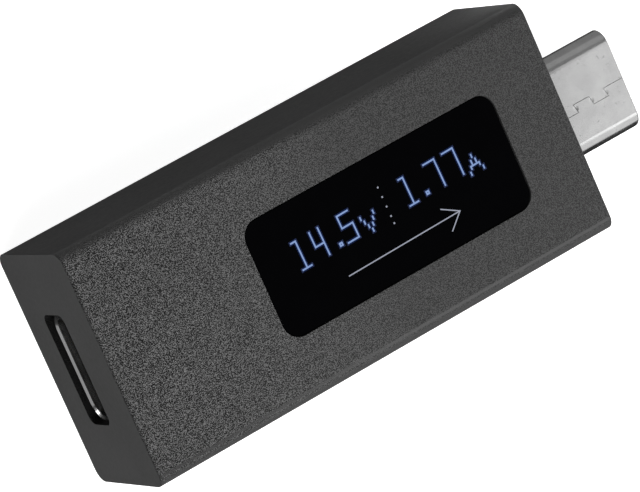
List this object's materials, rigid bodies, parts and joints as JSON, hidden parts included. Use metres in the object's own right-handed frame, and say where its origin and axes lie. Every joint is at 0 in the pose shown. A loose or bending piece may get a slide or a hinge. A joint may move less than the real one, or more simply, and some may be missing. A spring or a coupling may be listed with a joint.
{
  "type": "usb power meter",
  "caption": "Slim in-line power meter: a black box with a plug at one end, a matching socket at the other and a lit readout behind a dark window.",
  "frame": {"origin": "middle of the footprint (plug included), on the flat back", "axes": "+X along the body from the socket end toward the plug tip, +Y across it, +Z out of the display face"},
  "size_m": [0.0498, 0.019, 0.0111],
  "materials": {
    "housing_plastic": "fine spark-eroded grain on the display face, smooth on the sides",
    "window_plastic": "polished, very dark smoked",
    "black_adhesive": "double-sided tape",
    "black_foam": "closed-cell foam",
    "polariser_film": "smooth dark film",
    "panel_glass": "clear thin glass",
    "silicon": "bare die, polished back",
    "flex_film": "amber polyimide over copper",
    "board_laminate": "green solder mask",
    "chip_epoxy": "moulded epoxy",
    "shunt_alloy": "rolled alloy strip with a dark coat",
    "capacitor_ceramic": "fired ceramic with tinned ends",
    "resistor_body": "glazed ceramic with tinned ends",
    "plated_steel": "satin nickel plate",
    "spring_steel": "rolled strip",
    "gold_contact": "thin gold plate",
    "connector_plastic": "moulded, slightly glossy"
  },
  "bodies": {
    "root": {"front_shell": "housing_plastic", "rear_cover": "housing_plastic", "display_window": "window_plastic", "window_adhesive": "black_adhesive", "oled_polariser": "polariser_film", "oled_glass": "panel_glass", "oled_cap_glass": "panel_glass", "oled_driver_chip": "silicon", "oled_flex": "flex_film", "display_tape": "black_adhesive", "display_gasket": "black_foam", "main_board": "board_laminate", "microcontroller": "chip_epoxy", "current_monitor": "chip_epoxy", "voltage_regulator": "chip_epoxy", "shunt_resistor": "shunt_alloy", "ceramic_capacitors": "capacitor_ceramic", "chip_resistors": "resistor_body", "plug_shell": "plated_steel", "plug_housing": "connector_plastic", "plug_contacts_upper": "gold_contact", "plug_contacts_lower": "gold_contact", "plug_midplate": "spring_steel", "plug_ground_springs": "spring_steel", "socket_shell": "plated_steel", "socket_housing": "connector_plastic", "socket_contacts_upper": "gold_contact", "socket_contacts_lower": "gold_contact", "socket_midplate": "spring_steel"}
  },
  "joints": []
}
